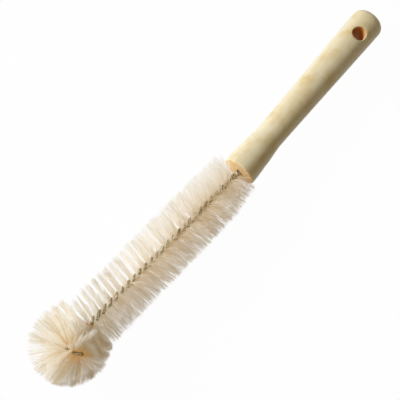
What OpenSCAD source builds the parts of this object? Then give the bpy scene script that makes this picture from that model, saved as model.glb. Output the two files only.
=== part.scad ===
// Bottle brush lying on its side: a turned wooden handle, one folded and
// twisted wire that is the stem, and bristles nipped between its two strands.
// The frame: +X from the handle's back end to the head, +Z up, the floor at 0.

/* [Handle] */
// Length of the turned handle
handle_len = 175; // [130:1:230]
// Diameter near the back end
rear_d = 26.8; // [22:0.2:34]
// Diameter at the neck, the thinnest place
neck_d = 22.4; // [18:0.2:30]
// Diameter where the swelling before the front face is nearly full
shoulder_d = 25.8; // [20:0.2:34]
// Diameter at the front face
front_d = 27.6; // [22:0.2:36]
// Distance of the neck behind the front face
neck_back = 40; // [30:0.5:60]
// Distance of the shoulder behind the front face
shoulder_back = 17; // [12:0.5:25]
// Height of the low crown on the back end
rear_crown = 1.4; // [0.2:0.1:4]
// Radius of the rounding round the back end
rear_round = 7; // [3:0.5:9]
// Radius of the small rounding round the front face
front_round = 1.3; // [0.3:0.1:3]

/* [Hang hole] */
// Diameter of the hole drilled across the handle
hole_d = 11.4; // [6:0.1:14]
// Distance of the hole from the back end
hole_at = 24.5; // [16:0.5:40]
// Angle by which the hole leans to the side, over the top
hole_roll = 3; // [-8:1:8]

/* [Stem] */
// Thickness of the wire
wire_d = 2.2; // [1.8:0.05:2.5]
// Space between the two strands, where the bristles are nipped
nip_gap = 1; // [0.9:0.05:1.3]
// Length of the twisted tail inside the handle
tail_len = 42; // [25:1:60]
// Room round the tail in its bore
bore_room = 0.06; // [0.03:0.01:0.3]
// Room between the cut ends of the tail and the end of the bore
tail_room = 2; // [1:0.5:5]
// Angle between the bored stem and the handle, seen from above
lean = 3.4; // [0:0.1:6]
// Length of one turn of the twist beside the handle
pitch_near = 11.9; // [11.6:0.1:15]
// Length of one turn of the twist where the stem bends up
pitch_far = 13; // [12:0.1:15]
// Length of one turn of the twist in the bend and the curl
pitch_curl = 14.2; // [12:0.1:16]
// Direction of the two strands at the handle's face
twist_phase = 170; // [0:5:360]
// How much wider the two strands stand in the small eye at the fold
eye_wide = 0.5; // [0:0.1:1]
// Length over which the twist runs out before the fold
eye_ease = 5; // [3:0.5:8]

/* [Curl at the tip] */
// Distance of the curl's plane from the handle's face, along the stem
curl_at = 190.5; // [150:0.5:230]
// Radius of the bend that turns the stem up
bend_r = 7; // [6:0.5:10]
// Radius of the ring the end is curled into
ring_r = 6.5; // [6:0.25:9]
// How far round the ring goes
ring_turn = 262; // [200:2:266]
// Angle the ring is turned back towards the handle
ring_skew = 10; // [0:1:15]

/* [Bristles] */
// Diameter of the bristles along the stem
shank_d = 46; // [38:0.5:56]
// Where the first bristles stand, from the handle's face
bristle_start = 5; // [2.6:0.1:8]
// Where the plain bristles end and the head begins
shank_end = 163; // [120:1:180]
// Space between the last plain bristles and the head
head_room = 2.2; // [2:0.1:5]
// Diameter of the ball the head is trimmed to
ball_d = 63; // [56:0.5:74]
// Where the middle of the ball is along the stem
ball_at = 188; // [150:1:230]
// How far the middle of the ball stands to the side of the stem
ball_side = -1; // [-3:0.5:6]
// How far the middle of the ball stands above the stem
ball_up = 7; // [0:0.5:10]
// How far the bristles nearest the handle are pressed flat
press = 1.6; // [0.5:0.1:3]
// Tufts in one turn of the stem's twist
tufts = 14; // [13:1:18]
// Tufts in one turn in the head
head_tufts = 17; // [10:1:20]
// Share of each tuft's place left open beside its neighbour
notch = 0.16; // [0.05:0.01:0.35]
// Half thickness of a tuft at its tip
tuft_half = 0.9; // [0.5:0.1:1.2]
// Uneven length of the tufts
ragged = 0.05; // [0:0.01:0.1]
// How far a tuft's tip strays to either side along the stem
stray = 0.8; // [0:0.1:1]
// How far a tuft's tip strays in the head, as a share of its length
head_stray = 0.14; // [0:0.01:0.2]

/* [Hidden] */
$fn = 64;

rear_r = rear_d / 2;
neck_r = neck_d / 2;
shoulder_r = shoulder_d / 2;
front_r = front_d / 2;
wire_off = (wire_d + nip_gap) / 2;
bore_r = wire_off + wire_d / 2 + bore_room;
shank_r = shank_d / 2;
ball_r = ball_d / 2;
nip_half = nip_gap / 2 - 0.32;
root_r = wire_off + wire_d / 2 + 0.3;
root_half = nip_half + 0.12;

// Small vector helpers.
function unit(v) = v / norm(v);
function ease(t) = t <= 0 ? 0 : t >= 1 ? 1 : t * t * (3 - 2 * t);

// The handle's outline as [radius, distance from the back end].
flat_r = rear_r - rear_round;
side_from = rear_crown + rear_round;
neck_at = handle_len - neck_back;
shoulder_at = handle_len - shoulder_back;
front_from = handle_len - front_round;
outline = concat(
    [[0, 0], [flat_r * 0.5, rear_crown * 0.25]],
    [for (i = [0:6]) let (a = -90 + 15 * i)
        [flat_r + rear_round * cos(a), side_from + rear_round * sin(a)]],
    [for (i = [1:6]) let (t = i / 6)
        [rear_r + (neck_r - rear_r) * (0.75 * t + 0.25 * ease(t)),
         side_from + (neck_at - side_from) * t]],
    [for (i = [1:8]) let (t = i / 8)
        [neck_r + (shoulder_r - neck_r) * ease(t),
         neck_at + (shoulder_at - neck_at) * t]],
    [for (i = [1:3]) let (t = i / 3)
        [shoulder_r + (front_r - shoulder_r) * t * (2 - t),
         shoulder_at + (front_from - shoulder_at) * t]],
    [for (i = [1:3]) let (a = 30 * i)
        [front_r - front_round * (1 - cos(a)),
         front_from + front_round * sin(a)]],
    [[0, handle_len]]);

// How the brush lies: the back end of the handle and the bristles beside its
// front face touch the floor.
touch_r = shank_r - press;
lie_deg = asin((touch_r - rear_r) / (handle_len + bristle_start - side_from));
lift = max([for (p = outline) p[0] * cos(lie_deg) - p[1] * sin(lie_deg)]);
function lie(p) = [p[0] * cos(lie_deg) - p[2] * sin(lie_deg), p[1],
                   p[0] * sin(lie_deg) + p[2] * cos(lie_deg) + lift];

// The stem's middle line: straight, a bend up, then the ring.
face = [handle_len, 0, 0];
ahead = [cos(lean), -sin(lean), 0];
side = [sin(lean), cos(lean), 0];
up = [0, 0, 1];
aside = cos(ring_skew) * side - sin(ring_skew) * ahead;
back = -cos(ring_skew) * ahead - sin(ring_skew) * side;
bend_from = curl_at - bend_r;
ring_from = bend_from + bend_r * PI / 2;
tip_s = ring_from + ring_r * ring_turn * PI / 180;
ring_foot = face + bend_from * ahead + bend_r * (ahead + up);
ring_mid = ring_foot + ring_r * aside;
function bend_a(s) = (s - bend_from) / bend_r * 180 / PI;
function ring_a(s) = (s - ring_from) / ring_r * 180 / PI;
function core(s) = s <= bend_from ? face + s * ahead
    : s <= ring_from ? let (a = bend_a(s)) face + bend_from * ahead
        + bend_r * (sin(a) * ahead + (1 - cos(a)) * up)
    : let (a = ring_a(s)) ring_foot
        + ring_r * (sin(a) * up + (1 - cos(a)) * aside);
function along(s) = s <= bend_from ? ahead
    : s <= ring_from ? let (a = bend_a(s)) cos(a) * ahead + sin(a) * up
    : let (a = ring_a(s)) cos(a) * up + sin(a) * aside;
function inward(s) = let (a = ring_a(s)) cos(a) * aside - sin(a) * up;
function first(s) = s <= ring_from ? side
    : cos(ring_skew) * inward(s) - sin(ring_skew) * back;
function second(s) = s <= bend_from ? up
    : s <= ring_from ? let (a = bend_a(s)) cos(a) * up - sin(a) * ahead
    : sin(ring_skew) * inward(s) + cos(ring_skew) * back;

// The twist, left-handed, a little longer towards the head; it runs out
// before the fold.
rate_near = 1 / pitch_near;
rate_far = 1 / pitch_far;
rate_curl = 1 / pitch_curl;
ease_from = tip_s - eye_ease;
function turns_plain(s) = s <= 0 ? rate_near * s
    : s <= bend_from ? rate_near * s
        + (rate_far - rate_near) * s * s / (2 * bend_from)
    : (rate_near + rate_far) / 2 * bend_from + rate_curl * (s - bend_from);
function turns(s) = s <= ease_from ? turns_plain(s)
    : turns_plain(ease_from)
        + rate_curl * ((s - ease_from) - pow(s - ease_from, 2) / (2 * eye_ease));
function phi(s) = twist_phase - 360 * turns(s);
function strand(s) = cos(phi(s)) * first(s) + sin(phi(s)) * second(s);
function bristle(s) = cos(phi(s)) * second(s) - sin(phi(s)) * first(s);
function stand(s) = wire_off + eye_wide * ease((s - ease_from) / eye_ease);

// The wire: six-sided rings of points along one strand, round the fold and
// back along the other.
wire_steps = ceil((tip_s + tail_len) * 7 / pitch_near);
function wire_s(i) = -tail_len + (tip_s + tail_len) * i / wire_steps;
function wire_mid(s, g) = core(s) + g * stand(s) * strand(s);
function ring6(m, t, r) = let (q = cross(t, r))
    [for (k = [0:5]) m + wire_d / 2 * (cos(30 + 60 * k) * r + sin(30 + 60 * k) * q)];
function wire_ring(i, g) = let (s = wire_s(i), d = 0.05,
        t = unit(wire_mid(s + d, g) - wire_mid(s - d, g)), r = g * strand(s),
        rr = unit(r - (r * t) * t))
    ring6(wire_mid(s, g), g * t, rr);
fold_steps = 5;
function fold_ring(k) = let (b = 180 * k / (fold_steps + 1), r = strand(tip_s),
        t = along(tip_s), o = cos(b) * r + sin(b) * t)
    ring6(core(tip_s) + stand(tip_s) * o, cos(b) * t - sin(b) * r, o);
wire_rings = concat(
    [for (i = [0:wire_steps - 1]) wire_ring(i, 1)],
    [ring6(wire_mid(tip_s, 1), along(tip_s), strand(tip_s))],
    [for (k = [1:fold_steps]) fold_ring(k)],
    [ring6(wire_mid(tip_s, -1), -along(tip_s), -strand(tip_s))],
    [for (i = [wire_steps - 1:-1:0]) wire_ring(i, -1)]);
wire_pts = [for (r = wire_rings) for (p = r) lie(p)];
wire_n = len(wire_rings);
wire_faces = concat(
    [[0, 1, 2, 3, 4, 5]],
    [for (i = [0:wire_n - 2]) for (k = [0:5]) for (h = [0, 1])
        let (a = 6 * i + k, b = 6 * i + (k + 1) % 6)
        h == 0 ? [a, b + 6, b] : [a, a + 6, b + 6]],
    [[for (k = [5:-1:0]) 6 * (wire_n - 1) + k]]);

// Where a bristle from s ends: along the stem at one radius, in the head at
// the ball, and short of its neighbours inside the curl.
ball_mid = face + ball_at * ahead + ball_side * side + ball_up * up;
function to_floor(o, e) = let (z = lie(o)[2],
        ez = e[0] * sin(lie_deg) + e[2] * cos(lie_deg))
    ez < -0.05 ? z / -ez : 999;
function to_ball(o, e) = let (v = o - ball_mid, b = e * v,
        c = v * v - ball_r * ball_r)
    -b + sqrt(max(b * b - c, 0));
function to_split(o, e) = let (d = e * ahead)
    d < -0.01 ? ((o - face) * ahead - shank_end - head_room) / -d : 999;
function to_bend(o, e) = min(
    e * up > 0.01 ? (bend_r - 0.9 - (o - face) * up) / (e * up) : 999,
    e * aside > 0.01 ? (-3.4 - (o - ring_mid) * aside) / (e * aside) : 999);
function to_mid(s, e) = let (d = e * inward(s))
    d > 0.01 ? (ring_r - 3) / d : 999;
function to_stem(o, e) = let (q = o - face, p = q - (q * ahead) * ahead,
        v = e - (e * ahead) * ahead, a = v * v, b = p * v,
        c = p * p - 4.2 * 4.2, k = b * b - a * c)
    b < 0 && c > 0 && k > 0 && a > 0.001 ? (-b - sqrt(k)) / a : 999;
function head_len(s, g) = let (o = core(s), e = g * bristle(s),
        all = min(to_ball(o, e), to_split(o, e)))
    s < ring_from - 0.01 ? min(all, to_bend(o, e))
        : min(all, to_mid(s, e), to_stem(o, e));

// The bristles: a thin twisted ribbon in the nip, with flat tufts standing
// out of both its edges.
function sheet(s, q) = core(s) + q * bristle(s);
function sheet_n(s, q) = unit(cross(bristle(s), sheet(s + 0.1, q) - sheet(s - 0.1, q)));
function on_floor(p) = p[2] < 0.3 ? [p[0], p[1], 0] : p;
function rib(s) = [for (q = [-root_r, 0, root_r])
    let (h = q == 0 ? nip_half : root_half, m = sheet(s, q), n = sheet_n(s, q))
    for (k = [1, -1]) lie(m + k * h * n)];
function tuft(sa, sb, la, lb, g, off) = [for (e = [[sa, la], [sb, lb]])
    let (m = sheet(e[0], g * e[1]), n = sheet_n(e[0], g * e[1]),
        h = tuft_half * min(1, 0.3 + 0.7 * e[1] / shank_r))
    for (k = [1, -1]) on_floor(lie(m + (k * h + off) * n))];
function strip_pts(s0, s1, n, len_a, len_b, off) = concat(
    [for (i = [0:n]) for (p = rib(s0 + (s1 - s0) * i / n)) p],
    [for (i = [0:n - 1]) for (j = [0, 1])
        let (d = (s1 - s0) / n, a = s0 + d * (i + notch), b = s0 + d * (i + 1 - notch),
            m = 2 * i + j)
        for (p = tuft(a, b, len_a[m], len_b[m], 2 * j - 1, off[m])) p]);
function four(a, b, c, d) = [[a, b, c], [a, c, d]];
function strip_faces(n) = let (w = 6 * (n + 1)) [for (f = concat(
    four(0, 2, 3, 1), four(2, 4, 5, 3),
    four(6 * n + 2, 6 * n, 6 * n + 1, 6 * n + 3),
    four(6 * n + 4, 6 * n + 2, 6 * n + 3, 6 * n + 5),
    [for (i = [0:n - 1]) let (r = 6 * i, t = w + 8 * i, u = t + 4)
        for (f = concat(
            four(r, r + 6, r + 8, r + 2), four(r + 2, r + 8, r + 10, r + 4),
            four(r + 1, r + 3, r + 9, r + 7), four(r + 3, r + 5, r + 11, r + 9),
            four(r + 4, r + 10, u + 2, u), four(r + 5, u + 1, u + 3, r + 11),
            four(r + 4, u, u + 1, r + 5), four(r + 10, r + 11, u + 3, u + 2),
            four(u, u + 2, u + 3, u + 1),
            four(r, t, t + 2, r + 6), four(r + 1, r + 7, t + 3, t + 1),
            four(r, r + 1, t + 1, t), four(r + 6, t + 2, t + 3, r + 7),
            four(t, t + 1, t + 3, t + 2))) f])) f];

shank_n = round(turns(shank_end) * tufts);
shank_step = (shank_end - bristle_start) / shank_n;
shank_rag = rands(1 - ragged, 1 + ragged * 0.4, 2 * shank_n, 11);
function shank_len(s, g, k) = min(shank_r * k, to_floor(core(s), g * bristle(s)));
shank_a = [for (i = [0:shank_n - 1]) for (j = [0, 1])
    shank_len(bristle_start + shank_step * (i + notch), 2 * j - 1, shank_rag[2 * i + j])];
shank_b = [for (i = [0:shank_n - 1]) for (j = [0, 1])
    shank_len(bristle_start + shank_step * (i + 1 - notch), 2 * j - 1,
        shank_rag[2 * i + j])];
shank_off = [for (v = rands(-stray, stray, 2 * shank_n, 5)) v];
shank_pts = strip_pts(bristle_start, shank_end, shank_n, shank_a, shank_b, shank_off);

head_from = shank_end + head_room;
head_to = tip_s - eye_ease / 2;
head_n = round((turns(head_to) - turns(head_from)) * head_tufts);
head_step = (head_to - head_from) / head_n;
head_rag = rands(1 - 1.6 * ragged, 1, 2 * head_n, 23);
function head_s(i, share) = head_from + head_step * (i + share);
function head_end(s, other, g, k) =
    max(root_r + 0.5, k * min(head_len(s, g), head_len(other, g) + 3));
head_a = [for (i = [0:head_n - 1]) for (j = [0, 1])
    head_end(head_s(i, notch), head_s(i, 1 - notch), 2 * j - 1, head_rag[2 * i + j])];
head_b = [for (i = [0:head_n - 1]) for (j = [0, 1])
    head_end(head_s(i, 1 - notch), head_s(i, notch), 2 * j - 1, head_rag[2 * i + j])];
head_dev = rands(-1, 1, 2 * head_n, 13);
head_off = [for (i = [0:head_n - 1]) for (j = [0, 1]) let (m = 2 * i + j,
        s = head_s(i, 0.5), l = min(head_a[m], head_b[m]))
    head_dev[m] * (s < ring_from ? min(stray, head_stray * (l - root_r))
        : head_stray * (l - root_r))];
head_pts = strip_pts(head_from, head_to, head_n, head_a, head_b, head_off);

// The origin: under the middle of the whole brush.
back_x = min([for (p = outline) for (g = [-1, 1])
    p[1] * cos(lie_deg) - g * p[0] * sin(lie_deg)]);
all_pts = concat(shank_pts, head_pts);
front_x = max([for (p = all_pts) p[0]]);
low_y = min([for (p = all_pts) p[1]]);
high_y = max([for (p = all_pts) p[1]]);
shift = [-(back_x + front_x) / 2, -(low_y + high_y) / 2, 0];

module handle() color("burlywood") translate(shift + [0, 0, lift])
    rotate([0, -lie_deg, 0]) difference() {
        rotate([0, 90, 0]) rotate_extrude() polygon(outline);
        translate([hole_at, 0, 0]) rotate([-hole_roll, 0, 0])
            cylinder(h = 2 * rear_d, d = hole_d, center = true);
        translate(face) rotate([0, 0, -lean]) rotate([0, -90, 0])
            cylinder(h = tail_len + tail_room, r = bore_r);
        translate(face) rotate([0, 0, -lean]) rotate([0, 90, 0])
            cylinder(h = front_d, r = bore_r);
    }

module stem_wire() color("dimgray") translate(shift)
    polyhedron(wire_pts, wire_faces);

module shank_bristles() color("antiquewhite") translate(shift)
    polyhedron(shank_pts, strip_faces(shank_n));

module head_bristles() color("wheat") translate(shift)
    polyhedron(head_pts, strip_faces(head_n));

handle();
stem_wire();
shank_bristles();
head_bristles();
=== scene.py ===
# %% [markdown]
# # A twisted-wire bottle brush
# The brush has three materials and four parts: a turned wooden handle, one
# long wire that is folded and twisted into the stem, and the bristles that
# the twist holds, plain ones along the stem and a ball of them at the tip.
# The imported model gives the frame; this script gives each part its looks.

# %% The frame
import math

import bmesh
import bpy
import numpy as np
from mathutils import Matrix, Vector


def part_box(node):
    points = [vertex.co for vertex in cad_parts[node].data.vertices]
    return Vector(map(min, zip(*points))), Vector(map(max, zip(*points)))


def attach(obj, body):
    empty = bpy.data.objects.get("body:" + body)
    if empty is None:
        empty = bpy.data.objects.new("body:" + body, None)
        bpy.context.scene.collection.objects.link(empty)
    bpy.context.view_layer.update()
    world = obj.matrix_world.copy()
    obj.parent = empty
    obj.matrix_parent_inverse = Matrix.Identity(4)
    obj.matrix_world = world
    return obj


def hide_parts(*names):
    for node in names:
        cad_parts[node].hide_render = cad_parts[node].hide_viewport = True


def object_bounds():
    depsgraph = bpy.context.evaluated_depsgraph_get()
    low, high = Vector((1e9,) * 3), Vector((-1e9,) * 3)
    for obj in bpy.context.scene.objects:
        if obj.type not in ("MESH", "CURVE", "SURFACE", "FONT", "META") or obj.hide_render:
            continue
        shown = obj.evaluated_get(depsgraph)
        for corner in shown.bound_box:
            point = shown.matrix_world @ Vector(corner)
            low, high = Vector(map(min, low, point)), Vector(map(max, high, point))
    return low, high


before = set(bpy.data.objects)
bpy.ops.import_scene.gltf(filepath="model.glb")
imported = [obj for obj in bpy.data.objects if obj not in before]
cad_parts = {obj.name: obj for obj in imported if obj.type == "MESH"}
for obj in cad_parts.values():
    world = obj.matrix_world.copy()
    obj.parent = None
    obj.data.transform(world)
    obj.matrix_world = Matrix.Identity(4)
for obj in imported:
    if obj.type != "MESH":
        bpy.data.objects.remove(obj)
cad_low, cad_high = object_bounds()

MM = 0.001
print("The packed model spans", [round(v / MM, 1) for v in cad_high - cad_low], "mm")

# %% [markdown]
# ## The handle's outline
# The handle is turned on a lathe, so a single outline holds its whole shape:
# a low crown at the back end, a long slight taper to the neck, a swell out to
# the shoulder, and a flat front face. The outline could be drawn by hand as a
# curve. Here it comes from a few sizes with smooth steps between them, so one
# size can be changed without drawing the rest again. Sizes are in millimetres.

# %% Sizes of the handle, and its outline
HANDLE_LEN = 175
REAR_R, NECK_R, SHOULDER_R, FRONT_R = 13.4, 11.2, 12.9, 13.8
REAR_CROWN, REAR_ROUND, FRONT_ROUND = 1.4, 7, 1.3
NECK_AT, SHOULDER_AT = HANDLE_LEN - 40, HANDLE_LEN - 17


def ease(t):
    """A smooth step from 0 to 1."""
    t = np.clip(t, 0, 1)
    return t * t * (3 - 2 * t)


def handle_outline():
    """Points (distance from the back end, radius) from the back pole to the middle of the face."""
    side_from = REAR_CROWN + REAR_ROUND
    front_from = HANDLE_LEN - FRONT_ROUND
    flat_r = REAR_R - REAR_ROUND
    crown = [(0, 0), (REAR_CROWN * 0.25, flat_r * 0.5)]
    turn = np.radians(np.linspace(-90, 0, 9))
    rear = [(side_from + REAR_ROUND * math.sin(a), flat_r + REAR_ROUND * math.cos(a)) for a in turn]
    t = np.linspace(0, 1, 49)[1:]
    body_r = REAR_R + (NECK_R - REAR_R) * (0.75 * t + 0.25 * ease(t))
    body = zip(side_from + (NECK_AT - side_from) * t, body_r)
    t = np.linspace(0, 1, 17)[1:]
    swell_r = NECK_R + (SHOULDER_R - NECK_R) * ease(t)
    swell = zip(NECK_AT + (SHOULDER_AT - NECK_AT) * t, swell_r)
    t = np.linspace(0, 1, 9)[1:]
    front_r = SHOULDER_R + (FRONT_R - SHOULDER_R) * t * (2 - t)
    front = zip(SHOULDER_AT + (front_from - SHOULDER_AT) * t, front_r)
    turn = np.radians(np.linspace(0, 90, 6))[1:]
    edge_r = [FRONT_R - FRONT_ROUND * (1 - math.cos(a)) for a in turn]
    edge = zip([front_from + FRONT_ROUND * math.sin(a) for a in turn], edge_r)
    return [*crown, *rear, *body, *swell, *front, *edge, (HANDLE_LEN, 0)]


outline = np.array(handle_outline())
print("Handle outline:", len(outline), "points")

# %% [markdown]
# ## Where the brush lies
# Each part is drawn first in the brush's own frame: x runs along the handle
# from its back end, y to the side and z up. The real brush doesn't lie level.
# It rests on the handle's back end and on the first bristles, which stand out
# further than the handle and give a little. So the whole brush leans back by
# a small angle. The parts could be drawn at that angle at once, but to tip
# them as the last thing keeps every outline simple.

# %% The lean, and the place of the brush's own frame
SHANK_R = 23
BRISTLE_START = 5
PRESS = 1.6

between_rests = HANDLE_LEN + BRISTLE_START - REAR_CROWN - REAR_ROUND
lean_back = math.asin((SHANK_R - PRESS - REAR_R) / between_rests)
x, r = outline.T
lift = (r * math.cos(lean_back) - x * math.sin(lean_back)).max()
back_end = (x * math.cos(lean_back) - r * math.sin(lean_back)).min()
handle_low, handle_high = (np.array(v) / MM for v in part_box("handle"))
offset = np.array([handle_low[0] - back_end, (handle_low[1] + handle_high[1]) / 2, lift])
tilt = Matrix.Rotation(-lean_back, 3, "Y")
lay_down = Matrix.Translation(Vector(offset) * MM) @ tilt.to_4x4() @ Matrix.Scale(MM, 4)


def laid_down(points):
    """Points in the brush's own frame, in mm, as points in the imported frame, in metres."""
    return (points @ np.array(tilt).T + offset) * MM


print(f"The brush leans back by {math.degrees(lean_back):.2f} degrees")
print("Its own frame starts at", offset.round(2), "mm")

# %% [markdown]
# ## The stem's middle line
# The real stem is one wire, folded in two, with the bristles laid across
# between its strands, and both strands twisted together. The wire and the
# bristles could each be modelled straight and bent later with a modifier.
# Here they all follow one curve instead: straight out of the handle, a quarter
# bend up, and most of a ring. A place on it is given by s, its distance from
# the handle's face along the stem. Each place has two directions square to
# the stem, which don't roll on the way, so that a twist can be counted from
# them.

# %% The middle line
BEND_R, RING_R = 7, 6.5
STEM_AHEAD = 190.5
RING_TURN = math.radians(262)
RING_SKEW = math.radians(10)
LEAN_ASIDE = math.radians(3.4)
BEND_FROM = STEM_AHEAD - BEND_R
RING_FROM = BEND_FROM + BEND_R * math.pi / 2
TIP = RING_FROM + RING_R * RING_TURN

FACE = np.array([HANDLE_LEN, 0, 0])
AHEAD = np.array([math.cos(LEAN_ASIDE), -math.sin(LEAN_ASIDE), 0])
SIDE = np.array([math.sin(LEAN_ASIDE), math.cos(LEAN_ASIDE), 0])
UP = np.array([0, 0, 1])
ASIDE = math.cos(RING_SKEW) * SIDE - math.sin(RING_SKEW) * AHEAD
BACK = -math.cos(RING_SKEW) * AHEAD - math.sin(RING_SKEW) * SIDE


def angles(s):
    """How far round the bend and the ring the places s are, as columns."""
    s = np.atleast_1d(np.asarray(s, float))
    bend = np.clip((s - BEND_FROM) / BEND_R, 0, math.pi / 2)
    ring = np.clip((s - RING_FROM) / RING_R, 0, None)
    return s, bend[:, None], ring[:, None]


def core(s):
    """The middle line at s mm from the handle's face."""
    s, bend, ring = angles(s)
    straight = FACE + np.minimum(s, BEND_FROM)[:, None] * AHEAD
    bent = BEND_R * (np.sin(bend) * AHEAD + (1 - np.cos(bend)) * UP)
    return straight + bent + RING_R * (np.sin(ring) * UP + (1 - np.cos(ring)) * ASIDE)


def square_to(s):
    """The middle line's own direction at s, and two directions square to it."""
    s, bend, ring = angles(s)
    inward = np.cos(ring) * ASIDE - np.sin(ring) * UP
    first = math.cos(RING_SKEW) * inward - math.sin(RING_SKEW) * BACK
    turned = math.sin(RING_SKEW) * inward + math.cos(RING_SKEW) * BACK
    second = np.cos(bend) * UP + np.sin(bend) * turned
    return np.cross(first, second), first, second


print(f"The middle line is {TIP:.1f} mm long from the face to the fold")

# %% [markdown]
# ### The twist
# One function says how many turns the stem has made at s. The strands of the
# wire and the bristles between them both read it, so each bristle leaves the
# wire where the gap between the strands is. The twist is tightest near the
# handle, a little slacker further on, and it runs out before the fold.

# %% The twist
PITCH_NEAR, PITCH_FAR, PITCH_CURL = 11.9, 13, 14.2
TWIST_PHASE = math.radians(170)
EYE_EASE = 5


def turns(s):
    """Turns of the twist from the handle's face to s; it runs out before the fold."""
    s = np.atleast_1d(np.asarray(s, float))
    near, far, curl = 1 / PITCH_NEAR, 1 / PITCH_FAR, 1 / PITCH_CURL
    before = np.minimum(s, BEND_FROM)
    growing = (far - near) * np.maximum(before, 0) ** 2 / (2 * BEND_FROM)
    over = np.maximum(s - (TIP - EYE_EASE), 0)
    return near * before + growing + curl * (np.maximum(s - BEND_FROM, 0) - over**2 / (2 * EYE_EASE))


def twist(s):
    """The angle that the strands have turned to at s, from the first direction to the second."""
    return TWIST_PHASE - 2 * math.pi * turns(s)


def strands(s):
    """The direction from the middle line to one strand of the wire."""
    _, first, second = square_to(s)
    angle = twist(s)[:, None]
    return np.cos(angle) * first + np.sin(angle) * second


print(f"The stem has {turns(TIP)[0]:.1f} left-handed turns")

# %% [markdown]
# ## The wooden handle
# A lathe gives the handle its round shape. A cylinder with loop cuts could be
# scaled ring by ring to the same form, but a spin of the outline is the lathe
# itself: it takes the sizes above and closes both ends on their poles.

# %% A helper that turns a bmesh into a piece
def piece_from(bm, name):
    """A new object from bm, which is freed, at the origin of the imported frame."""
    mesh = bpy.data.meshes.new(name)
    bm.to_mesh(mesh)
    bm.free()
    piece = bpy.data.objects.new(name, mesh)
    bpy.context.scene.collection.objects.link(piece)
    return piece


def triangles(mesh):
    """How many triangles the faces of a mesh come to."""
    return sum(len(face.vertices) - 2 for face in mesh.polygons)


# %% Turn the handle
HANDLE_STEPS = 96

bm = bmesh.new()
verts = [bm.verts.new((x, 0, r)) for x, r in outline]
edges = [bm.edges.new(pair) for pair in zip(verts, verts[1:])]
bmesh.ops.spin(bm, geom=[*verts, *edges], cent=(0, 0, 0), axis=(1, 0, 0), angle=2 * math.pi,
               steps=HANDLE_STEPS, use_merge=True)
bmesh.ops.remove_doubles(bm, verts=bm.verts, dist=1e-4)
bmesh.ops.recalc_face_normals(bm, faces=bm.faces)
print(f"Turned handle: {bm.calc_volume() / 1000:.1f} cubic centimetres of wood before drilling")
handle = piece_from(bm, "handle_wood")

# %% [markdown]
# ### The two drilled holes
# One hole is drilled across the handle, to hang the brush up, and one along
# it for the stem. Each drill is a solid of its own and a Boolean modifier
# takes it out of the wood, as the real drill does. The hang hole of a real
# handle is sanded, so its rim is a soft flare and not a sharp edge. A bevel
# after the cut would have to find the rim among the cut's uneven faces. So
# the flare is part of the drill: its rings follow the handle's round side.

# %% The drill for the hang hole, with a flared mouth at each side
HOLE_R, HOLE_AT = 5.7, 24.5
HOLE_ROLL = math.radians(3)
HOLE_STEPS = 72
RIM = 0.9
FLARE_OUT, FLARE_OVER = RIM * 1.15, 0.12
DRILL_REACH = 20


def side_height(y):
    """Height of the handle's round side above its axis beside the hang hole."""
    r = np.interp(HOLE_AT, outline[:, 0], outline[:, 1])
    return math.sqrt(r * r - y * y)


def next_ring(bm, ring, wider, height_at):
    """Extrudes the ring of edges to one that is wider than the hole; height_at gives z for each y."""
    grown = bmesh.ops.extrude_edge_only(bm, edges=ring)["geom"]
    for vert in (g for g in grown if isinstance(g, bmesh.types.BMVert)):
        out = Vector((vert.co.x, vert.co.y, 0)).normalized() * (HOLE_R + wider)
        vert.co = (out.x, out.y, height_at(out.y))
    return [g for g in grown if isinstance(g, bmesh.types.BMEdge)]


flare = [(RIM * (1 - math.cos(a)), -RIM * (1 - math.sin(a))) for a in np.radians([0, 24, 48, 70])]
flare.append((FLARE_OUT, FLARE_OVER))
mouths = [(-1, wider, above) for wider, above in reversed(flare)]
mouths += [(1, wider, above) for wider, above in flare]
bm = bmesh.new()
bmesh.ops.create_circle(bm, radius=HOLE_R + FLARE_OUT, segments=HOLE_STEPS,
                        matrix=Matrix.Translation((0, 0, -DRILL_REACH)))
ring = list(bm.edges)
bmesh.ops.edgenet_fill(bm, edges=ring)
for end, wider, above in mouths:
    ring = next_ring(bm, ring, wider, lambda y: end * (side_height(y) + above))
ring = next_ring(bm, ring, FLARE_OUT, lambda y: DRILL_REACH)
bmesh.ops.edgenet_fill(bm, edges=ring)
bmesh.ops.rotate(bm, verts=bm.verts, cent=(0, 0, 0), matrix=Matrix.Rotation(-HOLE_ROLL, 3, "X"))
bmesh.ops.translate(bm, verts=bm.verts, vec=(HOLE_AT, 0, 0))
bmesh.ops.recalc_face_normals(bm, faces=bm.faces)
print("Cross drill: open edges", sum(len(edge.link_faces) != 2 for edge in bm.edges))
cross_drill = piece_from(bm, "cross_drill")

# %% The drill for the stem
WIRE_D, NIP_GAP, TAIL_LEN = 2.2, 1.0, 42
STRAND_OFF = (WIRE_D + NIP_GAP) / 2
DRILL_ROOM, DRILL_DEEPER = 0.06, 2
DRILL_STEPS = 40
BORE_R = STRAND_OFF + WIRE_D / 2 + DRILL_ROOM
BORE_END = TAIL_LEN + DRILL_DEEPER

sideways = Matrix.Rotation(-LEAN_ASIDE, 4, "Z") @ Matrix.Rotation(math.pi / 2, 4, "Y")
bm = bmesh.new()
bmesh.ops.create_cone(bm, cap_ends=True, segments=DRILL_STEPS, radius1=BORE_R, radius2=BORE_R,
                      depth=2 * BORE_END, matrix=Matrix.Translation(FACE) @ sideways)
stem_drill = piece_from(bm, "stem_drill")
print(f"Stem drill: {2 * BORE_R:.2f} mm across, {BORE_END} mm deep")

# %% Cut both holes
SHARP_FROM = math.radians(50)

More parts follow.
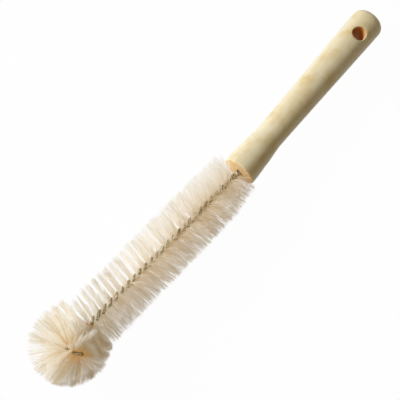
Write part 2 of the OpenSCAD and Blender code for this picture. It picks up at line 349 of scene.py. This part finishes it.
for drill in (cross_drill, stem_drill):
    cut = handle.modifiers.new(drill.name, "BOOLEAN")
    cut.operation = "DIFFERENCE"
    cut.solver = "EXACT"
    cut.object = drill
graph = bpy.context.evaluated_depsgraph_get()
handle.data = bpy.data.meshes.new_from_object(handle.evaluated_get(graph))
handle.modifiers.clear()
for drill in (cross_drill, stem_drill):
    bpy.data.objects.remove(drill)
handle.data.transform(lay_down)
handle.data.shade_smooth()
handle.data.set_sharp_from_angle(angle=SHARP_FROM)
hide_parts("handle")
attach(handle, "root")
print("Drilled handle:", triangles(handle.data), "triangles")

# %% [markdown]
# ## The stem wire
# The stem is drawn wire, round in section, bent by pliers. A chain of short
# cylinders would crease at each joint. A curve with a round bevel is the wire:
# it goes out along one strand, round the small eye at the fold, and back along
# the other strand to the second cut end.

# %% The path of the wire
WIRE_STEP = 0.45
EYE_WIDE = 0.5
EYE_STEPS = 9


def wire_path():
    """Points along the wire: out along one strand, round the eye, home along the other."""
    s = np.arange(-TAIL_LEN, TIP, WIRE_STEP)
    strand = strands(s)
    off = STRAND_OFF + EYE_WIDE * ease((s - TIP + EYE_EASE) / EYE_EASE)
    out = core(s) + off[:, None] * strand
    home = core(s) - off[:, None] * strand
    eye_mid = core(TIP)[0]
    aside = strands(TIP)[0]
    ahead = eye_mid - core(TIP - 0.01)[0]
    ahead /= np.linalg.norm(ahead)
    eye_r = STRAND_OFF + EYE_WIDE
    round_the_eye = [eye_mid + eye_r * (math.cos(a) * aside + math.sin(a) * ahead)
                     for a in np.linspace(0, math.pi, EYE_STEPS)]
    return np.vstack([out, round_the_eye, home[::-1]])


path = wire_path()
print(f"Wire: {np.linalg.norm(np.diff(path, axis=0), axis=1).sum():.0f} mm from end to end")

# %% Helpers that sweep a section along curves
def as_curve(name, paths, radii):
    """A curve object with one straight-sided spline a path; the points are in the brush's own frame."""
    curve = bpy.data.curves.new(name, "CURVE")
    curve.dimensions = "3D"
    for path, radius in zip(paths, radii):
        spline = curve.splines.new("POLY")
        spline.points.add(len(path) - 1)
        places = np.column_stack([laid_down(path), np.ones(len(path))])
        spline.points.foreach_set("co", places.ravel())
        spline.points.foreach_set("radius", radius)
    holder = bpy.data.objects.new(name, curve)
    bpy.context.scene.collection.objects.link(holder)
    return holder


def swept_mesh(holder):
    """The mesh that the curve's bevel makes; the curve itself is removed."""
    graph = bpy.context.evaluated_depsgraph_get()
    mesh = bpy.data.meshes.new_from_object(holder.evaluated_get(graph), depsgraph=graph)
    curve = holder.data
    bpy.data.objects.remove(holder)
    bpy.data.curves.remove(curve)
    return mesh


# %% Sweep the wire
holder = as_curve("wire_curve", [path], [np.ones(len(path))])
holder.data.bevel_depth = WIRE_D / 2 * MM
holder.data.bevel_resolution = 4
holder.data.use_fill_caps = True
bm = bmesh.new()
bm.from_mesh(swept_mesh(holder))
bmesh.ops.remove_doubles(bm, verts=bm.verts, dist=1e-7)
bmesh.ops.recalc_face_normals(bm, faces=bm.faces)
steel_volume = bm.calc_volume(signed=True) * 1e6
wire = piece_from(bm, "twisted_wire")
wire.data.shade_smooth()
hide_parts("stem_wire")
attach(wire, "root")
print("Wire:", triangles(wire.data), "triangles,", round(steel_volume, 2), "cubic centimetres")

# %% [markdown]
# ## The bristles
# A bristle is held at its middle, so it is one thin strand from tip to tip
# through the nip. Thousands are laid side by side, and the twist turns each
# one a little further than its neighbour, so the tips lie on two screw
# lines. A hair particle system could scatter them, but it roots hairs on a
# surface, and here they lie across a line. So each bristle is a short curve,
# swept with a triangle: it is so thin that its three sides never show. It
# tapers to a point at both ends. Two values go with every point for the
# colours: its reach from the nip to the tip, and the tone of its bristle.

# %% A bristle's section and taper
BRISTLE_D = 0.28
FRACTIONS = (0, 0.12, 0.45, 0.95, 1)
THINNER = 0.1
SECTION_SIDES = 3

reach = np.array([*FRACTIONS[:0:-1], *FRACTIONS])
taper = np.where(reach > 0.99, 0, 1 - THINNER * reach**2)


def triangle_section():
    """The outline that is swept along each bristle."""
    curve = bpy.data.curves.new("section", "CURVE")
    spline = curve.splines.new("POLY")
    spline.points.add(SECTION_SIDES - 1)
    spline.use_cyclic_u = True
    for k, point in enumerate(spline.points):
        angle = -2 * math.pi * k / SECTION_SIDES
        point.co = (BRISTLE_D / 2 * MM * math.cos(angle), BRISTLE_D / 2 * MM * math.sin(angle), 0, 1)
    section = bpy.data.objects.new("section", curve)
    bpy.context.scene.collection.objects.link(section)
    return section


print("A bristle has", len(reach), "points from tip to tip")

# %% A helper that makes one piece of many bristles
def bundle(name, node_name, paths, tone):
    """A piece made of bristles; paths has one row of points a bristle, tip to tip."""
    count, points = paths.shape[:2]
    holder = as_curve(name + "_curve", paths, [taper] * count)
    section = triangle_section()
    holder.data.bevel_mode = "OBJECT"
    holder.data.bevel_object = section
    mesh = swept_mesh(holder)
    bpy.data.objects.remove(section)
    reach_values = np.tile(np.repeat(reach, SECTION_SIDES), count)
    tone_values = np.repeat(tone, points * SECTION_SIDES)
    for label, values in (("reach", reach_values), ("tone", tone_values)):
        attribute = mesh.attributes.new(label, "FLOAT", "POINT")
        attribute.data.foreach_set("value", values.astype(np.float32))
    bm = bmesh.new()
    bm.from_mesh(mesh)
    bmesh.ops.remove_doubles(bm, verts=bm.verts, dist=1e-7)
    piece = piece_from(bm, name)
    piece.data.shade_smooth()
    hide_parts(node_name)
    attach(piece, "root")
    print(name, count, "bristles,", triangles(piece.data), "triangles")
    return piece


# %% [markdown]
# ### How a bristle stands
# Each half of a bristle starts in the nip, square to the stem. Left there, it
# would look like a machine's drawing. On the real brush three things move it.
# Neighbours cling together in locks, so its tip is drawn towards the middle of
# its lock, and a lock strays as one. Where a lock stands straight up it parts
# to both sides, as bristles do that have been packed flat, and the stem shows
# in the parting. And its tip leans along the stem. A modifier could bend
# straight bristles, but it would bend them all by one law. Here each of the
# three grows from the nip by a power under one, so a bristle bends mostly near
# its root.

# %% Locks and the parting
CLING = 0.4
UNPARTED = 0.9
PARTING_TILT = math.radians(16)
PARTING = np.array([math.sin(PARTING_TILT), 0.05, math.cos(PARTING_TILT)])


def in_locks(s, locks):
    """A random value for each lock, given to all the bristles in it; locks is how many a turn."""
    lock = np.floor(turns(s) * locks).astype(int)
    lock -= lock.min()
    return rng.normal(0, 1, lock.max() + 1)[lock]


def to_middle_of_lock(s, locks):
    """Part of the way to the middle of each bristle's lock, in turns of the twist."""
    return CLING * ((np.floor(turns(s) * locks) + 0.5) / locks - turns(s))


def parted_from(away, by, wide):
    """How far a bristle is turned away from a parting that it stands at this angle from."""
    away = (away + math.pi) % (2 * math.pi) - math.pi
    return by * np.sign(away) * np.exp(-((away / wide) ** 2))


# %% Both halves of many bristles
PART_POWER, SWING_POWER, LEAN_POWER = 0.6, 0.45, 0.4
STRAY = math.radians(4)
LOCK_LEAN, OWN_LEAN = 0.5, 0.8
LOCK_SHORTER, OWN_SHORTER = 0.02, 0.07
TONE_SPREAD, LOCK_TONE = 0.15, 0.16
CLEAR_OF_FACE = 1.6


def bristle_paths(s, locks, loose, above, below, wide, length_to, sweep):
    """Paths of the bristles nipped at s, tip to tip, and the tone of each.

    above and below are the angles that they part by over and under the wire,
    wide is how wide the parting is, and loose is how far they stray.
    """
    ahead, first, second = square_to(s)
    base = core(s)
    # The parting shows where its direction lies square to the stem, and less on some bristles.
    up_1, up_2 = first @ PARTING, second @ PARTING
    shown = (up_1**2 + up_2**2) * (1 - UNPARTED * rng.random(len(s)))
    to_lock = to_middle_of_lock(s, locks)
    tone = rng.normal(0.5, TONE_SPREAD, len(s))
    halves = []
    # The two halves stand out to opposite sides, a quarter turn from the strands.
    for way in (-1, 1):
        angle = twist(s) + way * math.pi / 2
        away = angle - 2 * math.pi * to_lock - np.arctan2(up_2, up_1)
        push = shown * (parted_from(away, above, wide) + parted_from(away + math.pi, below, wide))
        stray = STRAY * loose * (in_locks(s, locks) + rng.normal(0, 1, len(s)))
        swing = stray - 2 * math.pi * to_lock
        tone += way * LOCK_TONE * in_locks(s, locks)

        def pointing(f):
            """The direction from the nip to the place at this fraction of the length."""
            a = (angle + push * f**PART_POWER + swing * f**SWING_POWER)[:, None]
            return np.cos(a) * first + np.sin(a) * second

        back, bow, spread = sweep(s, pointing(1.0))
        uneven = LOCK_LEAN * in_locks(s, locks) + OWN_LEAN * rng.normal(0, 1, len(s))
        lean = to_lock * PITCH_NEAR + loose * spread * uneven
        length = length_to(s, base, pointing(1.0)) * (1 - LOCK_SHORTER * np.abs(in_locks(s, locks)))
        length *= 1 - OWN_SHORTER * rng.random(len(s)) ** 1.5
        half = []
        # Near the handle, no bristle reaches back into its face.
        for f in FRACTIONS:
            along = np.maximum(lean * f**LEAN_POWER - back * f**bow, CLEAR_OF_FACE - s)
            half.append(base + (length * f)[:, None] * pointing(f) + along[:, None] * ahead)
        halves.append(np.stack(half, axis=1))
    return np.concatenate([halves[0][:, :0:-1], halves[1]], axis=1), np.clip(tone, 0, 1)


# %% Laid on the floor, and made into pieces
LIES_AT = 0.25
BENDS_FROM = 0.6
PIECES = 2


def above_floor(paths):
    """The paths, with what would pass through the floor laid flat on it."""
    up = np.array(tilt)[2]
    heights = paths @ up + offset[2]
    flat = LIES_AT + (BENDS_FROM - LIES_AT) * np.exp((heights - BENDS_FROM) / BENDS_FROM)
    return paths + (np.where(heights < BENDS_FROM, flat, heights) - heights)[..., None] * up


def bundles(node_name, s, **how):
    """The pieces of one bundle; sharing it between two leaves each room for more bristles."""
    paths, tone = bristle_paths(s, **how)
    shares = zip(np.array_split(above_floor(paths), PIECES), np.array_split(tone, PIECES))
    return [bundle(f"{node_name}_{k}", node_name, *share) for k, share in enumerate(shares, 1)]


# %% [markdown]
# ### The plain bristles
# Along the stem the brush is trimmed to a cylinder. On one side the bristles
# keep the order that the machine gave them, as thin flat fins. On the other
# they have been combed by use: the tips lean back to the handle in a bow, and
# spread. Near the handle they are shorter on that side and stand more loosely.
# These are small changes in length and lean, so each is a short table of
# values along the stem, with straight lines between them.

# %% The plain bristles
SHANK_SEED = 41
SHANK_END = 163
SHANK_COUNT = 2400
SHANK_LOCKS = 20
BOW = 0.55


def on_combed_side(direction):
    """0 on the fins' side of the brush, 1 on the combed side."""
    return np.clip(0.5 + direction @ SIDE, 0, 1)


def to_shank_side(s, base, direction):
    """The length that the plain bristles are trimmed to, shorter by the handle on the combed side."""
    trimmed = SHANK_R * np.interp(s, [5, 60, 90, 120, SHANK_END], [1.01, 1.04, 1.05, 1.02, 1.06])
    shorter = np.interp(s, [5, 12, 30], [0.26, 0.13, 0])
    return trimmed * (1 - shorter * on_combed_side(direction))


def swept_back(s, direction):
    """How far the tips lean back to the handle, the power of the way there, and how far they spread."""
    combed = on_combed_side(direction)
    on_fins = np.interp(s, [5, 60, 110, 140, SHANK_END], [0, 1, 1.5, 3, 6])
    on_comb = np.interp(s, [5, 100, 135, SHANK_END], [4.5, 5, 2, -4])
    spread = 1 + np.maximum(direction @ SIDE, 0)
    return on_fins + combed * (on_comb - on_fins), 1 - BOW * combed, spread


rng = np.random.default_rng(SHANK_SEED)
s = np.sort(rng.uniform(BRISTLE_START, SHANK_END, SHANK_COUNT))
loose_along = np.interp(s, [5, 60, 110, SHANK_END], [3.4, 2.4, 1.4, 0.9])
shank = bundles("shank_bristles", s, locks=SHANK_LOCKS, loose=loose_along, above=math.radians(50),
                below=math.radians(28), wide=math.radians(65), length_to=to_shank_side, sweep=swept_back)

# %% [markdown]
# ### The ball at the tip
# The same twisted strip goes on through the bend and the ring, and the head
# is trimmed to a ball. A sphere covered with hair would put every root on its
# outside. Here each bristle starts in the nip, and its length is the way from
# there to the ball. The bristles fan out more on the bend and the ring, so
# they cling in finer locks than on the straight stem.

# %% The head
HEAD_SEED = 3
HEAD_COUNT = 2800
HEAD_LOCKS = 50
HEAD_GAP = 2.2
BALL_R = 32.5
BALL_AHEAD, BALL_ASIDE, BALL_UP = 188, -1, 7
LONGEST, LESS_BEHIND = 33, 10

ball_mid = FACE + BALL_AHEAD * AHEAD + BALL_ASIDE * SIDE + BALL_UP * UP


def to_ball(s, base, direction):
    """Length of each bristle up to the ball, and shorter where it points back at the handle."""
    from_mid = base - ball_mid
    b = np.einsum("ij,ij->i", from_mid, direction)
    c = np.einsum("ij,ij->i", from_mid, from_mid) - BALL_R**2
    return np.minimum(-b + np.sqrt(b * b - c), LONGEST - LESS_BEHIND * np.maximum(-direction @ AHEAD, 0))


def not_swept(s, direction):
    """The head isn't combed: nothing back, no bow, no extra spread."""
    return np.zeros(len(s)), np.ones(len(s)), np.ones(len(s))


rng = np.random.default_rng(HEAD_SEED)
s = np.sort(rng.uniform(SHANK_END + HEAD_GAP, TIP - EYE_EASE / 2, HEAD_COUNT))
head = bundles("head_bristles", s, locks=HEAD_LOCKS, loose=1.1, above=math.radians(26),
               below=0, wide=math.radians(50), length_to=to_ball, sweep=not_swept)

# %% [markdown]
# ## Materials
# There are three finishes: pale turned wood, dull drawn wire and natural
# bristle. Each is made of nodes, so there is no image to stretch or to lose.
# A few helpers keep the node lines short. Every pattern reads Object
# coordinates or the bristles' own two values, so it stays on its piece.

# %% Helpers for materials
def new_material(name, **sockets):
    """A material with a Principled shader; sockets sets its inputs."""
    material = bpy.data.materials.new(name)
    material.use_nodes = True
    shader = material.node_tree.nodes["Principled BSDF"]
    for label, value in sockets.items():
        shader.inputs[label.replace("_", " ")].default_value = value
    return material, material.node_tree, shader


def node(tree, kind, **settings):
    """A node of that kind; settings are its inputs, or its properties where no input has the name."""
    made = tree.nodes.new("ShaderNode" + kind)
    for label, value in settings.items():
        if label in made.inputs:
            made.inputs[label].default_value = value
        else:
            setattr(made, label, value)
    return made


def on_piece(tree, location=(0, 0, 0), rotation=(0, 0, 0), scale=(1, 1, 1)):
    """Object coordinates, seen from a frame with this place, turn and unit."""
    place = node(tree, "TexCoord")
    seen = node(tree, "Mapping", vector_type="TEXTURE", Location=location, Rotation=rotation, Scale=scale)
    tree.links.new(place.outputs["Object"], seen.inputs["Vector"])
    return seen.outputs["Vector"]


def axes(tree, vector):
    """The three numbers of a vector, by the letter of the axis."""
    split = node(tree, "SeparateXYZ")
    tree.links.new(vector, split.inputs[0])
    return split.outputs


# %% Helpers for colours
def srgb(red, green, blue):
    """A colour given as 0 to 255 screen values, as Blender's linear ones."""
    return tuple(((v / 255 + 0.055) / 1.055) ** 2.4 if v > 10 else v / 255 / 12.92
                 for v in (red, green, blue))


def ramp(tree, source, *stops):
    """A colour ramp through (position, colour) stops, fed by source."""
    made = tree.nodes.new("ShaderNodeValToRGB")
    tree.links.new(source, made.inputs["Fac"])
    elements = made.color_ramp.elements
    while len(elements) < len(stops):
        elements.new(0.5)
    for element, (position, colour) in zip(elements, stops):
        element.position = position
        element.color = (*colour, 1)
    return made.outputs["Color"]


def mix(tree, kind, factor, a, b):
    """Mixes two colours; factor is a number or a socket."""
    made = node(tree, "Mix", data_type="RGBA", blend_type=kind)
    for socket, value in ((made.inputs[0], factor), (made.inputs[6], a), (made.inputs[7], b)):
        if isinstance(value, bpy.types.NodeSocket):
            tree.links.new(value, socket)
        else:
            socket.default_value = value
    return made.outputs[2]


def rescaled(tree, source, low, high, to_low=0.0, to_high=1.0):
    """The source, which goes from low to high, as a value from to_low to to_high."""
    made = node(tree, "MapRange")
    tree.links.new(source, made.inputs["Value"])
    for label, value in (("From Min", low), ("From Max", high), ("To Min", to_low), ("To Max", to_high)):
        made.inputs[label].default_value = value
    return made.outputs["Result"]


def noise(tree, vector, scale, detail, roughness=0.5):
    """A noise pattern on those coordinates."""
    made = node(tree, "TexNoise", Scale=scale, Detail=detail, Roughness=roughness)
    tree.links.new(vector, made.inputs["Vector"])
    return made.outputs["Fac"]


def bumps(tree, shader, height, strength, distance):
    """Bumps on the shader's surface, as high as distance in metres."""
    bump = node(tree, "Bump", Strength=strength, Distance=distance)
    tree.links.new(height, bump.inputs["Height"])
    tree.links.new(bump.outputs["Normal"], shader.inputs["Normal"])


# %% [markdown]
# ### Turned wood
# The handle is pale, close-grained wood, sanded and left plain. The grain of
# real wood runs lengthways, so the noise that draws it is stretched fourteen
# times along the handle. A broader noise gives the slow clouds of darker
# wood, and a third one, on top, the faint smudges that hands leave. The
# coordinates are tipped with the handle, so the grain runs along it.

# %% Turned wood
GRAIN_STRETCH = 14
own_place = Vector(offset) * MM
own_tilt = (0, -lean_back, 0)

wood, tree, shader = new_material("pale_wood", Roughness=0.42, Specular_IOR_Level=0.25)
lengthways = on_piece(tree, own_place, own_tilt, (MM * GRAIN_STRETCH, MM, MM))
grain = noise(tree, lengthways, 0.55, 5.0, 0.6)
clouds = noise(tree, lengthways, 0.09, 2.0)
smudges = noise(tree, node(tree, "TexCoord").outputs["Object"], 75.0, 3.0)
fibre = ramp(tree, grain, (0.3, srgb(224, 206, 158)), (0.7, srgb(238, 226, 190)))
cloud = ramp(tree, clouds, (0.35, srgb(216, 196, 148)), (0.65, srgb(240, 231, 200)))
smudge = ramp(tree, smudges, (0.48, (1, 1, 1)), (0.72, srgb(244, 231, 206)))
colour = mix(tree, "MULTIPLY", 1.0, mix(tree, "MIX", 0.5, fibre, cloud), smudge)
tree.links.new(colour, shader.inputs["Base Color"])
bumps(tree, shader, grain, 0.12, 0.0003)
handle.data.materials.clear()
handle.data.materials.append(wood)
print("Turned wood:", len(tree.nodes), "nodes")

# %% [markdown]
# ### Cut wood
# The front face and the inside of the hole show the wood across its fibres,
# raw from the saw and the drill, so they are more orange. The wall of the hang
# hole is painted browner still: painted shade inside the hole. The year rings on
# the face are a wave pattern round the pith, which lies off the middle. A second
# material on the cut faces is simpler than a mask, because the cuts' edges
# are edges of the mesh too.

# %% Cut wood
PITH_OFF = Vector((0, 0.009, -0.004))

cut_wood, tree, shader = new_material("cut_wood", Roughness=0.75, Specular_IOR_Level=0.25)
across = on_piece(tree, own_place + PITH_OFF, own_tilt, (MM, MM, MM))
rings = node(tree, "TexWave", wave_type="RINGS", rings_direction="X", Scale=0.22, Distortion=1.5, Detail=3.0)
tree.links.new(across, rings.inputs["Vector"])
pores = noise(tree, across, 2.5, 4.0)
ring_colour = ramp(tree, rings.outputs["Fac"], (0.2, srgb(242, 210, 152)), (0.8, srgb(249, 226, 180)))
pore_colour = ramp(tree, pores, (0.35, srgb(226, 178, 108)), (0.6, srgb(250, 228, 184)))
raw = mix(tree, "MIX", 0.4, ring_colour, pore_colour)
to_front = rescaled(tree, axes(tree, across)["X"], 2 * HOLE_AT, NECK_AT)
# Painted shade: the cut wood is darkened to a browner colour towards the back end, where the hang hole is,
# to stand for the shade inside the hole.
painted_hole_shade = ramp(tree, to_front, (0.0, srgb(238, 200, 152)), (1.0, srgb(253, 246, 236)))
tree.links.new(mix(tree, "MULTIPLY", 1.0, raw, painted_hole_shade), shader.inputs["Base Color"])
bumps(tree, shader, pores, 0.3, 0.0004)
handle.data.materials.append(cut_wood)
print("Cut wood:", len(tree.nodes), "nodes")

# %% Which faces are cut
UNDER_SKIN = 0.7
BEHIND_FACE = 0.3
ROUND_BORE = 1


def is_cut(face):
    """True for the front face, the wall of the hang hole and the bore near its mouth."""
    x, y, z = (np.array(face.center) / MM - offset) @ np.array(tilt)
    from_axis = math.hypot(y, z)
    skin = np.interp(x, outline[:, 0], outline[:, 1])
    in_hang_hole = from_axis < skin - UNDER_SKIN and x < 2 * HOLE_AT
    in_bore = from_axis < BORE_R + ROUND_BORE and x > HANDLE_LEN - BORE_END - ROUND_BORE
    return in_hang_hole or in_bore or x > HANDLE_LEN - BEHIND_FACE


for face in handle.data.polygons:
    face.material_index = int(is_cut(face))
print("Cut faces:", sum(face.material_index for face in handle.data.polygons))

# %% [markdown]
# ### Wire
# The wire is plain drawn steel that has been wet and dried many times. It is
# metal through and through, so its colour is the colour of its gloss: a fine
# noise makes it vary between a brownish grey and a paler one, and makes the
# dark spots a little smoother than the pale ones.

# %% Wire
steel, tree, shader = new_material("dull_wire", Metallic=1.0)
spots = noise(tree, node(tree, "TexCoord").outputs["Object"], 700.0, 3.0)
colour = ramp(tree, spots, (0.3, srgb(106, 94, 66)), (0.7, srgb(186, 174, 140)))
roughness = ramp(tree, spots, (0.2, (0.3,) * 3), (0.8, (0.48,) * 3))
tree.links.new(colour, shader.inputs["Base Color"])
tree.links.new(roughness, shader.inputs["Roughness"])
wire.data.materials.append(steel)
print("Wire:", len(tree.nodes), "nodes")

# %% [markdown]
# ### Bristle
# Natural bristle is a pale fibre that lets light through. A hair shader would
# suit it, but it wants real hair curves. A mix of a Principled shader and a
# Translucent one gives a mesh the same glow. In a dense bundle most of the
# light has wandered from fibre to fibre dozens of times, more often than a
# render follows it. So from its third bounce on, a ray that meets a bristle
# meets a plain light instead of the next bounce. That light is near white on
# the lamp's side of the brush and a darker, warm one on the other side, it
# changes along the bristle, and it is golden near the roots of the ball. No
# ray from the camera sees it directly.

# %% The fibre itself
THROUGH = 0.8


def along_bristle(tree, reach, colours):
    """Colours at the root, in the middle and at the tip of a bristle."""
    root, middle, tip = (srgb(*colour) for colour in colours)
    return ramp(tree, reach, (0.0, root), (0.15, root), (0.4, middle), (1.0, tip))


def pale_fibre(tree, shader, reach, darkest, darker):
    """The surface of a bristle, gloss and glow; darkest and darker tint those of a low tone."""
    tone = node(tree, "Attribute", attribute_name="tone").outputs["Fac"]
    root, middle, tip = srgb(253, 249, 242), srgb(254, 251, 246), srgb(254, 252, 248)
    by_reach = ramp(tree, reach, (0.0, root), (0.35, middle), (1.0, tip))
    tints = (0.05, srgb(*darkest)), (0.35, srgb(*darker)), (0.6, srgb(255, 254, 252))
    colour = mix(tree, "MULTIPLY", 1.0, by_reach, ramp(tree, tone, *tints))
    glow = node(tree, "BsdfTranslucent")
    tree.links.new(colour, shader.inputs["Base Color"])
    tree.links.new(colour, glow.inputs["Color"])
    surface = node(tree, "MixShader", Fac=THROUGH)
    tree.links.new(shader.outputs[0], surface.inputs[1])
    tree.links.new(glow.outputs[0], surface.inputs[2])
    return surface.outputs[0]


# %% The light that wanders between bristles
WANDERS_FROM = 3
BETWEEN = 2.1
SHADE_FROM, SHADE_TO = -0.006, 0.010
DIMMER_FROM, DIMMEST_FROM = -0.080, -0.035


def wandering_light(tree, reach, lit, shade, turned, beside_ball):
    """A plain light in the lit colours on the lamp's side of the brush, in the shade's on the other.

    turned is the angle of the line between both sides, round the ball's
    middle; beside_ball is how much of the light is left next to the ball.
    """
    split = axes(tree, on_piece(tree, laid_down(ball_mid), (0, 0, math.radians(turned))))
    side = rescaled(tree, split["Y"], SHADE_FROM, SHADE_TO)
    lit_colour = along_bristle(tree, reach, lit)
    shade_colour = along_bristle(tree, reach, shade)
    light = node(tree, "Emission", Strength=BETWEEN)
    tree.links.new(mix(tree, "MIX", side, lit_colour, shade_colour), light.inputs["Color"])
    if beside_ball < 1:
        dimmest = BETWEEN * beside_ball
        strength = rescaled(tree, split["X"], DIMMER_FROM, DIMMEST_FROM, BETWEEN, dimmest)
        tree.links.new(strength, light.inputs["Strength"])
    return light.outputs[0]


def bristle_finish(name, darkest, darker, **light):
    """The fibre for a ray's first bounces, and the wandering light for its later ones."""
    material, tree, shader = new_material(name, Roughness=0.45, Specular_IOR_Level=0.35)
    reach = node(tree, "Attribute", attribute_name="reach").outputs["Fac"]
    late = node(tree, "Math", operation="GREATER_THAN")
    tree.links.new(node(tree, "LightPath").outputs["Ray Depth"], late.inputs[0])
    late.inputs[1].default_value = WANDERS_FROM - 0.5
    surface = node(tree, "MixShader")
    tree.links.new(late.outputs[0], surface.inputs[0])
    tree.links.new(pale_fibre(tree, shader, reach, darkest, darker), surface.inputs[1])
    tree.links.new(wandering_light(tree, reach, **light), surface.inputs[2])
    tree.links.new(surface.outputs[0], tree.nodes["Material Output"].inputs["Surface"])
    print(name + ":", len(tree.nodes), "nodes")
    return material


# %% [markdown]
# The plain bristles and the head are the same kind of fibre. The light
# between them differs: the ball is deep, so the light near its roots is
# golden, and the ball keeps light off the plain bristles beside it. Each row
# of colours below runs from the root over the middle to the tip.

# %% The two bristle finishes
SHANK_LIT = (250, 252, 254), (238, 240, 243), (200, 202, 205)
SHANK_SHADE = (162, 143, 105), (154, 134, 96), (120, 104, 76)
HEAD_LIT = (190, 166, 128), (204, 200, 190), (201, 200, 197)
HEAD_SHADE = (158, 126, 78), (136, 121, 95), (122, 115, 102)

plain_bristle = bristle_finish("natural_bristle", (240, 233, 220), (249, 246, 240),
                               lit=SHANK_LIT, shade=SHANK_SHADE, turned=0, beside_ball=0.7)
head_bristle = bristle_finish("head_bristle", (240, 227, 202), (251, 248, 242),
                              lit=HEAD_LIT, shade=HEAD_SHADE, turned=19, beside_ball=1.0)
for piece in shank:
    piece.data.materials.append(plain_bristle)
for piece in head:
    piece.data.materials.append(head_bristle)

# %% [markdown]
# ## Floor, light and camera
# The brush lies on white paper. More light would make grey paper white, but
# it would bleach the pale brush too. So the floor and the world are plain
# white only for rays from the camera, off a gloss or through a fibre. For the
# rest the floor is matt paper, and a little of that is left for the camera
# too, which keeps a faint shadow under the brush.

# %% What should see plain white
def sees_background(tree):
    """1 for rays that should meet plain white: from the camera, off a gloss, or through a fibre."""
    rays = node(tree, "LightPath")
    seen = rays.outputs["Is Camera Ray"]
    for kind in ("Is Glossy Ray", "Is Transmission Ray"):
        either = node(tree, "Math", operation="MAXIMUM")
        tree.links.new(seen, either.inputs[0])
        tree.links.new(rays.outputs[kind], either.inputs[1])
        seen = either.outputs[0]
    return seen


# %% Floor
FLOOR_HALF = 3
GLOW_SHARE = 0.98

bm = bmesh.new()
bmesh.ops.create_grid(bm, x_segments=1, y_segments=1, size=FLOOR_HALF)
floor = piece_from(bm, "floor")
paper, tree, matt = new_material("white_paper", Roughness=0.9, Base_Color=(0.8, 0.8, 0.8, 1))
glow = node(tree, "Emission", Strength=1.0)
share = node(tree, "Math", operation="MULTIPLY")
tree.links.new(sees_background(tree), share.inputs[0])
share.inputs[1].default_value = GLOW_SHARE
both = node(tree, "MixShader")
tree.links.new(share.outputs[0], both.inputs["Fac"])
tree.links.new(matt.outputs[0], both.inputs[1])
tree.links.new(glow.outputs[0], both.inputs[2])
tree.links.new(both.outputs[0], tree.nodes["Material Output"].inputs["Surface"])
floor.data.materials.append(paper)
print("Floor:", 2 * FLOOR_HALF, "m wide")

# %% World
SKY_LEVEL = 0.22
SKY_TINT = (1, 0.83, 0.57)

scene = bpy.context.scene
scene.world = bpy.data.worlds.new("studio")
scene.world.use_nodes = True
tree = scene.world.node_tree
sky = tree.nodes["Background"]
seen = sees_background(tree)
tree.links.new(rescaled(tree, seen, 0.0, 1.0, SKY_LEVEL, 1.0), sky.inputs["Strength"])
tree.links.new(ramp(tree, seen, (0.0, SKY_TINT), (1.0, (1, 1, 1))), sky.inputs["Color"])
scene.view_settings.view_transform = "Standard"
print("World:", SKY_LEVEL, "of plain white on the brush, in a warm tint")

# %% [markdown]
# ### The lamp
# The brush is lit from one side: its lower edge is in a soft shade and the
# handle's round side darkens evenly. One large round lamp, low and near, does
# that alone. A sun would draw hard shadows, and a second lamp would fill the
# shade. Its light is slightly blue against the warm world, so lit fibres are
# near white and the shade is warm.

# %% Lamp
LAMP_AZIMUTH, LAMP_HEIGHT = math.radians(18), math.radians(29)
LAMP_DISTANCE = 1.6
LAMP_SIZE = 0.5
LAMP_WATTS = 28.0

across_floor = Vector((math.sin(LAMP_AZIMUTH), -math.cos(LAMP_AZIMUTH), 0)) * math.cos(LAMP_HEIGHT)
away = across_floor + Vector((0, 0, math.sin(LAMP_HEIGHT)))
lamp_data = bpy.data.lights.new("key", "AREA")
lamp_data.shape = "DISK"
lamp_data.size = LAMP_SIZE
lamp_data.energy = LAMP_WATTS
lamp_data.color = (0.855, 0.905, 1)
lamp = bpy.data.objects.new("key", lamp_data)
scene.collection.objects.link(lamp)
lamp.location = (cad_low + cad_high) / 2 + LAMP_DISTANCE * away
lamp.rotation_euler = away.to_track_quat("Z", "Y").to_euler()
print("Lamp at", [round(v, 2) for v in lamp.location], "m")

# %% [markdown]
# ### The camera
# The brush is seen from almost straight above, and lies slantwise in the
# square. The camera could be aimed with a Track To constraint, but then its
# roll would have to be set by hand. Its matrix says it all: a roll about the
# line of sight, a small tilt off the plumb line, and the distance from the
# point aimed at.

# %% Camera
VIEW_TILT = math.radians(12.845)
VIEW_ROLL = math.radians(130.912)
VIEW_DISTANCE = 0.95
AIM = Vector((0.015808, 0.001191, 0.022))

camera_data = bpy.data.cameras.new("camera")
camera_data.lens = 110.786
camera = bpy.data.objects.new("camera", camera_data)
scene.collection.objects.link(camera)
scene.camera = camera
turn = Matrix.Rotation(VIEW_TILT, 4, "Y") @ Matrix.Rotation(VIEW_ROLL, 4, "Z")
camera.matrix_world = Matrix.Translation(AIM) @ turn @ Matrix.Translation((0, 0, VIEW_DISTANCE))
print("Camera at", [round(v, 3) for v in camera.matrix_world.translation], "m")

# %% [markdown]
# ## Sizes, and the end
# The finished pieces should fill the same box as the imported model, apart from
# a few bristle tips. The imported model's box is written down.

# %% The imported model's size, and the end
print("CAD box", [round(v / MM, 2) for v in (*cad_low, *cad_high)], "mm")
